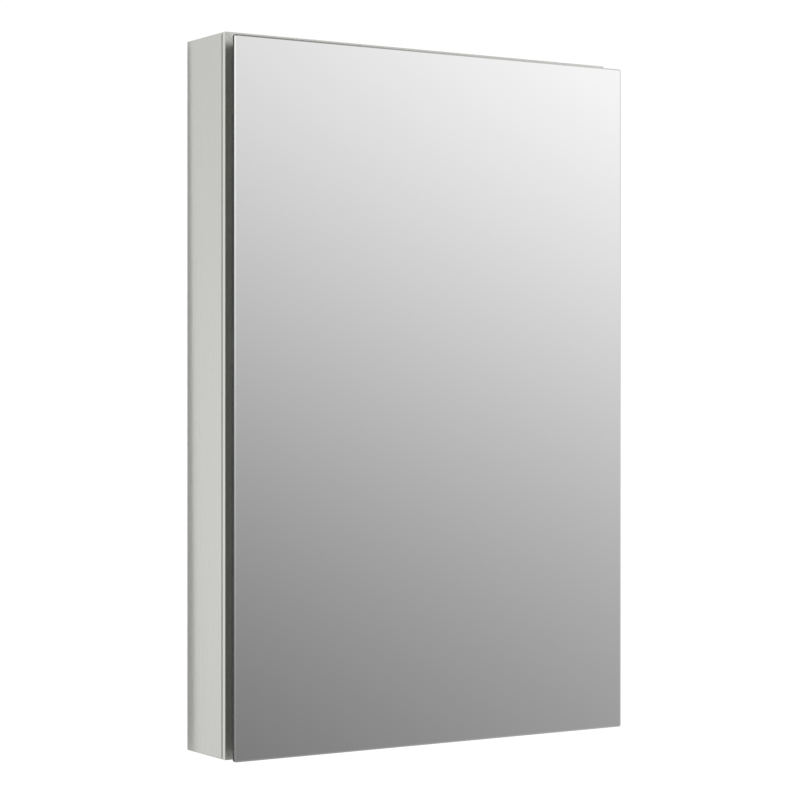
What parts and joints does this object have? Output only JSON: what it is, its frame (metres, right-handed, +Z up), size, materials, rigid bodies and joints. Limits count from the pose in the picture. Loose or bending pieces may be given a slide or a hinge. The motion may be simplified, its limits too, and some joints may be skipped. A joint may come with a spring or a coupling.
{
  "type": "mirror medicine cabinet",
  "caption": "Shallow wall-hung medicine cabinet: a frameless mirror door on side hinges in front of a satin aluminium case with glass shelves.",
  "frame": {"origin": "centre of the wall (rear) face of the case", "axes": "+X to the viewer's right (hinge side), +Y into the wall, +Z up; the mirror door faces -Y"},
  "size_m": [0.508, 0.1175, 0.77],
  "materials": {
    "case_extrusion": "satin anodised",
    "trim_panel": "satin anodised",
    "back_sheet": "satin anodised",
    "door_extrusion": "satin anodised, darkened",
    "bracket_steel": "zinc plated",
    "rivet": "plain",
    "grey_plastic": "fine texture",
    "plated_fixings": "nickel plated",
    "shelf_glass": "polished, tempered",
    "hinge_steel": "nickel plated",
    "bumper_rubber": "matt",
    "mirror_glass": "polished, silvered",
    "bonding_tape": "matt foam"
  },
  "bodies": {
    "cabinet": {"wall_left": "case_extrusion", "wall_right": "case_extrusion", "wall_top": "case_extrusion", "wall_bottom": "case_extrusion", "trim_left": "trim_panel", "trim_right": "trim_panel", "trim_top": "trim_panel", "trim_bottom": "trim_panel", "back_panel": "back_sheet", "back_rivets": "rivet", "bracket_top_left": "bracket_steel", "bracket_top_right": "bracket_steel", "bracket_bottom_left": "bracket_steel", "bracket_bottom_right": "bracket_steel", "bracket_rivets": "rivet", "trim_spacers": "grey_plastic", "trim_screws": "plated_fixings", "shelf_lower": "shelf_glass", "shelf_middle": "shelf_glass", "shelf_upper": "shelf_glass", "shelf_pegs": "plated_fixings", "hinge_plate_lower": "hinge_steel", "hinge_plate_middle": "hinge_steel", "hinge_plate_upper": "hinge_steel", "hinge_pin_lower": "hinge_steel", "hinge_pin_middle": "hinge_steel", "hinge_pin_upper": "hinge_steel", "hinge_plate_screws": "plated_fixings", "hinge_hole_plugs": "grey_plastic", "catch_magnet": "grey_plastic", "catch_screws": "plated_fixings", "bumpers": "bumper_rubber"},
    "door": {"front_mirror": "mirror_glass", "front_mirror_tape": "bonding_tape", "door_stile_free": "door_extrusion", "door_stile_hinged": "door_extrusion", "door_rail_top": "door_extrusion", "door_rail_bottom": "door_extrusion", "door_cross_rail": "door_extrusion", "door_corner_keys": "grey_plastic", "inner_mirror": "mirror_glass", "inner_mirror_tape": "bonding_tape", "hinge_leaf_lower": "hinge_steel", "hinge_leaf_middle": "hinge_steel", "hinge_leaf_upper": "hinge_steel", "hinge_leaf_screws": "plated_fixings", "catch_strike": "hinge_steel"}
  },
  "joints": [
    {"name": "door_swing", "type": "hinge", "parent": "cabinet", "child": "door", "pos_m": [0.243, -0.099, 0], "axis": [0, 0, 1], "range_deg": [0, 110]}
  ]
}
